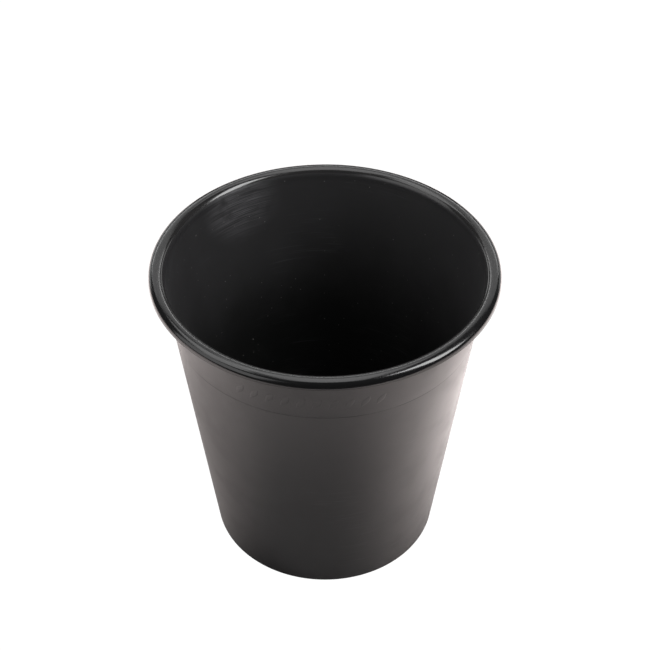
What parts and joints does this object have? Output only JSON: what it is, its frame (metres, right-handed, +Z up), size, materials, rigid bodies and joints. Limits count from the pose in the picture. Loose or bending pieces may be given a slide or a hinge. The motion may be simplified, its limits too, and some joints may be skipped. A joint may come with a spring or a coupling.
{
  "type": "florist bucket",
  "caption": "Tapered round black plastic bucket with a rolled rim and a recessed base, for standing cut flowers in water.",
  "frame": {"origin": "on the bucket's axis, at the level it stands on", "axes": "+Z up along the bucket's axis, out of its mouth; the bucket is round, so X and Y are any level pair"},
  "size_m": [0.2836, 0.2836, 0.277],
  "materials": {
    "rim_polypropylene": "smooth moulded black polypropylene, half gloss, rubbed along the crown",
    "wall_polypropylene": "moulded black polypropylene with a soft sheen",
    "floor_polypropylene": "moulded black polypropylene, dull, with light scuffs"
  },
  "bodies": {
    "root": {"rim_roll": "rim_polypropylene", "upper_band": "wall_polypropylene", "side_wall": "wall_polypropylene", "floor_disc": "floor_polypropylene", "foot_ring": "wall_polypropylene"}
  },
  "joints": []
}
